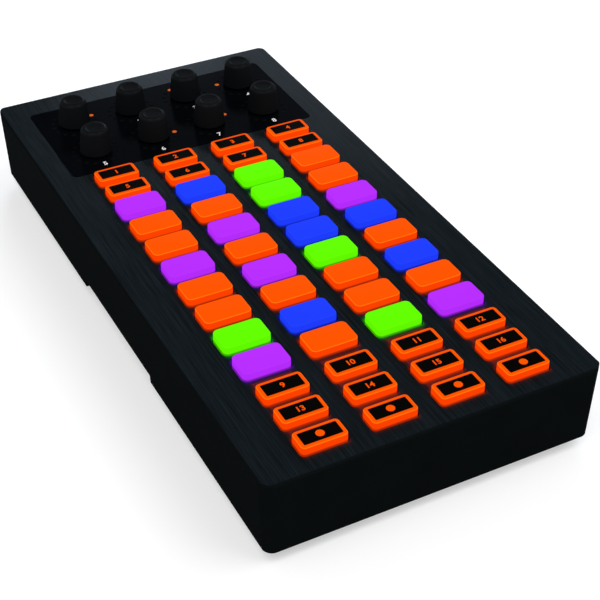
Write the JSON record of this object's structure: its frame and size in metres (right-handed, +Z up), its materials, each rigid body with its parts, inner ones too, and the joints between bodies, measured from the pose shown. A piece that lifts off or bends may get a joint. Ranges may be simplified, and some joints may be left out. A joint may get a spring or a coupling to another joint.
{
  "type": "button midi controller",
  "caption": "Flat desktop button controller: a long black case with columns of lit pads and keys and a gloss panel of endless knobs in rings of light dots.",
  "frame": {"origin": "under the middle of the case, on the plane that the feet stand on", "axes": "+Z up out of the key field, +Y along the case towards the knob panel and the data socket, +X to the right of someone who uses it"},
  "size_m": [0.1216, 0.25, 0.0452],
  "materials": {
    "case_plastic": "satin moulded black",
    "brushed_black": "black anodised, brushed along the case",
    "panel_gloss": "gloss smoked black",
    "carrier_plastic": "plain moulded",
    "base_plastic": "fine spark texture",
    "foot_rubber": "matt",
    "screw_steel": "zinc plated",
    "board_green": "solder mask",
    "chip_black": "moulded chip packages",
    "light_chip": "light chips",
    "mat_rubber": "moulded silicone",
    "encoder_steel": "pressed can and turned bushing",
    "light_guide": "clear moulded",
    "socket_metal": "bright nickel",
    "socket_plastic": "moulded insert",
    "knob_plastic": "soft-touch black",
    "key_orange": "translucent silicone lit orange",
    "pad_purple": "translucent silicone lit purple",
    "pad_blue": "translucent silicone lit blue",
    "pad_green": "translucent silicone lit green"
  },
  "bodies": {
    "chassis": {"case_shell": "case_plastic", "faceplate": "brushed_black", "encoder_panel": "panel_gloss", "key_carrier": "carrier_plastic", "base_plate": "base_plastic", "rubber_feet": "foot_rubber", "fixing_screws": "screw_steel", "main_board": "board_green", "board_chips": "chip_black", "board_leds": "light_chip", "key_mat": "mat_rubber", "encoder_bodies": "encoder_steel", "light_rings": "light_guide", "socket_shell": "socket_metal", "socket_tongue": "socket_plastic"},
    "knob_1": {"knob_1": "knob_plastic"},
    "knob_2": {"knob_2": "knob_plastic"},
    "knob_3": {"knob_3": "knob_plastic"},
    "knob_4": {"knob_4": "knob_plastic"},
    "knob_5": {"knob_5": "knob_plastic"},
    "knob_6": {"knob_6": "knob_plastic"},
    "knob_7": {"knob_7": "knob_plastic"},
    "knob_8": {"knob_8": "knob_plastic"},
    "select_keys_back": {"select_keys_back": "key_orange"},
    "select_keys_front": {"select_keys_front": "key_orange"},
    "channel_keys_back": {"channel_keys_back": "key_orange"},
    "channel_keys_middle": {"channel_keys_middle": "key_orange"},
    "channel_keys_front": {"channel_keys_front": "key_orange"},
    "pad_1": {"pad_1": "pad_purple"},
    "pad_2": {"pad_2": "pad_blue"},
    "pad_3": {"pad_3": "pad_green"},
    "pad_4": {"pad_4": "key_orange"},
    "pad_5": {"pad_5": "key_orange"},
    "pad_6": {"pad_6": "key_orange"},
    "pad_7": {"pad_7": "pad_green"},
    "pad_8": {"pad_8": "key_orange"},
    "pad_9": {"pad_9": "key_orange"},
    "pad_10": {"pad_10": "pad_purple"},
    "pad_11": {"pad_11": "pad_blue"},
    "pad_12": {"pad_12": "pad_purple"},
    "pad_13": {"pad_13": "pad_purple"},
    "pad_14": {"pad_14": "key_orange"},
    "pad_15": {"pad_15": "pad_blue"},
    "pad_16": {"pad_16": "pad_blue"},
    "pad_17": {"pad_17": "key_orange"},
    "pad_18": {"pad_18": "pad_purple"},
    "pad_19": {"pad_19": "pad_green"},
    "pad_20": {"pad_20": "key_orange"},
    "pad_21": {"pad_21": "key_orange"},
    "pad_22": {"pad_22": "key_orange"},
    "pad_23": {"pad_23": "key_orange"},
    "pad_24": {"pad_24": "pad_blue"},
    "pad_25": {"pad_25": "pad_green"},
    "pad_26": {"pad_26": "pad_blue"},
    "pad_27": {"pad_27": "key_orange"},
    "pad_28": {"pad_28": "key_orange"},
    "pad_29": {"pad_29": "pad_purple"},
    "pad_30": {"pad_30": "key_orange"},
    "pad_31": {"pad_31": "pad_green"},
    "pad_32": {"pad_32": "pad_purple"}
  },
  "joints": [
    {"name": "knob_1_turn", "type": "hinge", "parent": "chassis", "child": "knob_1", "pos_m": [-0.0366, 0.0985, 0.0342], "axis": [0, 0, 1], "continuous": true},
    {"name": "knob_2_turn", "type": "hinge", "parent": "chassis", "child": "knob_2", "pos_m": [-0.0122, 0.0985, 0.0342], "axis": [0, 0, 1], "continuous": true},
    {"name": "knob_3_turn", "type": "hinge", "parent": "chassis", "child": "knob_3", "pos_m": [0.0122, 0.0985, 0.0342], "axis": [0, 0, 1], "continuous": true},
    {"name": "knob_4_turn", "type": "hinge", "parent": "chassis", "child": "knob_4", "pos_m": [0.0366, 0.0985, 0.0342], "axis": [0, 0, 1], "continuous": true},
    {"name": "knob_5_turn", "type": "hinge", "parent": "chassis", "child": "knob_5", "pos_m": [-0.0366, 0.0742, 0.0342], "axis": [0, 0, 1], "continuous": true},
    {"name": "knob_6_turn", "type": "hinge", "parent": "chassis", "child": "knob_6", "pos_m": [-0.0122, 0.0742, 0.0342], "axis": [0, 0, 1], "continuous": true},
    {"name": "knob_7_turn", "type": "hinge", "parent": "chassis", "child": "knob_7", "pos_m": [0.0122, 0.0742, 0.0342], "axis": [0, 0, 1], "continuous": true},
    {"name": "knob_8_turn", "type": "hinge", "parent": "chassis", "child": "knob_8", "pos_m": [0.0366, 0.0742, 0.0342], "axis": [0, 0, 1], "continuous": true},
    {"name": "select_keys_back_press", "type": "slide", "parent": "chassis", "child": "select_keys_back", "axis": [0, 0, -1], "range_m": [0, 0.0012], "stiffness_N_per_m": 800},
    {"name": "select_keys_front_press", "type": "slide", "parent": "chassis", "child": "select_keys_front", "axis": [0, 0, -1], "range_m": [0, 0.0012], "stiffness_N_per_m": 800},
    {"name": "channel_keys_back_press", "type": "slide", "parent": "chassis", "child": "channel_keys_back", "axis": [0, 0, -1], "range_m": [0, 0.0012], "stiffness_N_per_m": 800},
    {"name": "channel_keys_middle_press", "type": "slide", "parent": "chassis", "child": "channel_keys_middle", "axis": [0, 0, -1], "range_m": [0, 0.0012], "stiffness_N_per_m": 800},
    {"name": "channel_keys_front_press", "type": "slide", "parent": "chassis", "child": "channel_keys_front", "axis": [0, 0, -1], "range_m": [0, 0.0012], "stiffness_N_per_m": 800},
    {"name": "pad_1_press", "type": "slide", "parent": "chassis", "child": "pad_1", "axis": [0, 0, -1], "range_m": [0, 0.0012], "stiffness_N_per_m": 800},
    {"name": "pad_2_press", "type": "slide", "parent": "chassis", "child": "pad_2", "axis": [0, 0, -1], "range_m": [0, 0.0012], "stiffness_N_per_m": 800},
    {"name": "pad_3_press", "type": "slide", "parent": "chassis", "child": "pad_3", "axis": [0, 0, -1], "range_m": [0, 0.0012], "stiffness_N_per_m": 800},
    {"name": "pad_4_press", "type": "slide", "parent": "chassis", "child": "pad_4", "axis": [0, 0, -1], "range_m": [0, 0.0012], "stiffness_N_per_m": 800},
    {"name": "pad_5_press", "type": "slide", "parent": "chassis", "child": "pad_5", "axis": [0, 0, -1], "range_m": [0, 0.0012], "stiffness_N_per_m": 800},
    {"name": "pad_6_press", "type": "slide", "parent": "chassis", "child": "pad_6", "axis": [0, 0, -1], "range_m": [0, 0.0012], "stiffness_N_per_m": 800},
    {"name": "pad_7_press", "type": "slide", "parent": "chassis", "child": "pad_7", "axis": [0, 0, -1], "range_m": [0, 0.0012], "stiffness_N_per_m": 800},
    {"name": "pad_8_press", "type": "slide", "parent": "chassis", "child": "pad_8", "axis": [0, 0, -1], "range_m": [0, 0.0012], "stiffness_N_per_m": 800},
    {"name": "pad_9_press", "type": "slide", "parent": "chassis", "child": "pad_9", "axis": [0, 0, -1], "range_m": [0, 0.0012], "stiffness_N_per_m": 800},
    {"name": "pad_10_press", "type": "slide", "parent": "chassis", "child": "pad_10", "axis": [0, 0, -1], "range_m": [0, 0.0012], "stiffness_N_per_m": 800},
    {"name": "pad_11_press", "type": "slide", "parent": "chassis", "child": "pad_11", "axis": [0, 0, -1], "range_m": [0, 0.0012], "stiffness_N_per_m": 800},
    {"name": "pad_12_press", "type": "slide", "parent": "chassis", "child": "pad_12", "axis": [0, 0, -1], "range_m": [0, 0.0012], "stiffness_N_per_m": 800},
    {"name": "pad_13_press", "type": "slide", "parent": "chassis", "child": "pad_13", "axis": [0, 0, -1], "range_m": [0, 0.0012], "stiffness_N_per_m": 800},
    {"name": "pad_14_press", "type": "slide", "parent": "chassis", "child": "pad_14", "axis": [0, 0, -1], "range_m": [0, 0.0012], "stiffness_N_per_m": 800},
    {"name": "pad_15_press", "type": "slide", "parent": "chassis", "child": "pad_15", "axis": [0, 0, -1], "range_m": [0, 0.0012], "stiffness_N_per_m": 800},
    {"name": "pad_16_press", "type": "slide", "parent": "chassis", "child": "pad_16", "axis": [0, 0, -1], "range_m": [0, 0.0012], "stiffness_N_per_m": 800},
    {"name": "pad_17_press", "type": "slide", "parent": "chassis", "child": "pad_17", "axis": [0, 0, -1], "range_m": [0, 0.0012], "stiffness_N_per_m": 800},
    {"name": "pad_18_press", "type": "slide", "parent": "chassis", "child": "pad_18", "axis": [0, 0, -1], "range_m": [0, 0.0012], "stiffness_N_per_m": 800},
    {"name": "pad_19_press", "type": "slide", "parent": "chassis", "child": "pad_19", "axis": [0, 0, -1], "range_m": [0, 0.0012], "stiffness_N_per_m": 800},
    {"name": "pad_20_press", "type": "slide", "parent": "chassis", "child": "pad_20", "axis": [0, 0, -1], "range_m": [0, 0.0012], "stiffness_N_per_m": 800},
    {"name": "pad_21_press", "type": "slide", "parent": "chassis", "child": "pad_21", "axis": [0, 0, -1], "range_m": [0, 0.0012], "stiffness_N_per_m": 800},
    {"name": "pad_22_press", "type": "slide", "parent": "chassis", "child": "pad_22", "axis": [0, 0, -1], "range_m": [0, 0.0012], "stiffness_N_per_m": 800},
    {"name": "pad_23_press", "type": "slide", "parent": "chassis", "child": "pad_23", "axis": [0, 0, -1], "range_m": [0, 0.0012], "stiffness_N_per_m": 800},
    {"name": "pad_24_press", "type": "slide", "parent": "chassis", "child": "pad_24", "axis": [0, 0, -1], "range_m": [0, 0.0012], "stiffness_N_per_m": 800},
    {"name": "pad_25_press", "type": "slide", "parent": "chassis", "child": "pad_25", "axis": [0, 0, -1], "range_m": [0, 0.0012], "stiffness_N_per_m": 800},
    {"name": "pad_26_press", "type": "slide", "parent": "chassis", "child": "pad_26", "axis": [0, 0, -1], "range_m": [0, 0.0012], "stiffness_N_per_m": 800},
    {"name": "pad_27_press", "type": "slide", "parent": "chassis", "child": "pad_27", "axis": [0, 0, -1], "range_m": [0, 0.0012], "stiffness_N_per_m": 800},
    {"name": "pad_28_press", "type": "slide", "parent": "chassis", "child": "pad_28", "axis": [0, 0, -1], "range_m": [0, 0.0012], "stiffness_N_per_m": 800},
    {"name": "pad_29_press", "type": "slide", "parent": "chassis", "child": "pad_29", "axis": [0, 0, -1], "range_m": [0, 0.0012], "stiffness_N_per_m": 800},
    {"name": "pad_30_press", "type": "slide", "parent": "chassis", "child": "pad_30", "axis": [0, 0, -1], "range_m": [0, 0.0012], "stiffness_N_per_m": 800},
    {"name": "pad_31_press", "type": "slide", "parent": "chassis", "child": "pad_31", "axis": [0, 0, -1], "range_m": [0, 0.0012], "stiffness_N_per_m": 800},
    {"name": "pad_32_press", "type": "slide", "parent": "chassis", "child": "pad_32", "axis": [0, 0, -1], "range_m": [0, 0.0012], "stiffness_N_per_m": 800}
  ]
}
